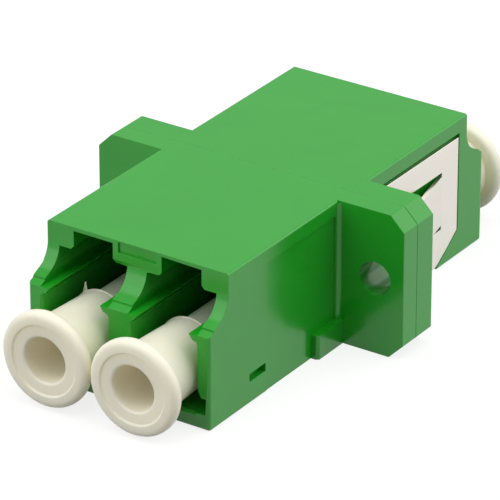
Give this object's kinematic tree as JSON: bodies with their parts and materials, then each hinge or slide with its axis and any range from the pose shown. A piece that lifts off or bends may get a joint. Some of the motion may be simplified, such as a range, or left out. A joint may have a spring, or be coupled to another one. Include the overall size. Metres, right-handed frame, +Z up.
{
  "type": "lc duplex fibre adapter",
  "caption": "Flanged duplex fibre coupler with stepped ports at both ends, moulded latch slots, side spring clip, screw ears and pull-out dust caps.",
  "frame": {"origin": "centre of the bottom, at the weld seam in the middle of the flange", "axes": "+X to the right seen from the front, +Y from the front ports to the rear ports, +Z up towards the latch slots"},
  "size_m": [0.022, 0.0364, 0.0094],
  "materials": {
    "housing": "moulded green plastic, semi-gloss",
    "clip": "rolled spring steel sheet, satin",
    "ceramic": "ground white ceramic",
    "cap": "cream translucent soft plastic, satin"
  },
  "bodies": {
    "housing": {"front_housing": "housing", "rear_housing": "housing", "panel_clip": "clip", "left_sleeve": "ceramic", "right_sleeve": "ceramic"},
    "front_left_cap_body": {"front_left_cap": "cap"},
    "front_right_cap_body": {"front_right_cap": "cap"},
    "rear_left_cap_body": {"rear_left_cap": "cap"},
    "rear_right_cap_body": {"rear_right_cap": "cap"}
  },
  "joints": [
    {"name": "front_left_cap_pull", "type": "slide", "parent": "housing", "child": "front_left_cap_body", "axis": [0, -1, 0], "range_m": [0, 0.016]},
    {"name": "front_right_cap_pull", "type": "slide", "parent": "housing", "child": "front_right_cap_body", "axis": [0, -1, 0], "range_m": [0, 0.016]},
    {"name": "rear_left_cap_pull", "type": "slide", "parent": "housing", "child": "rear_left_cap_body", "axis": [0, 1, 0], "range_m": [0, 0.016]},
    {"name": "rear_right_cap_pull", "type": "slide", "parent": "housing", "child": "rear_right_cap_body", "axis": [0, 1, 0], "range_m": [0, 0.016]}
  ]
}
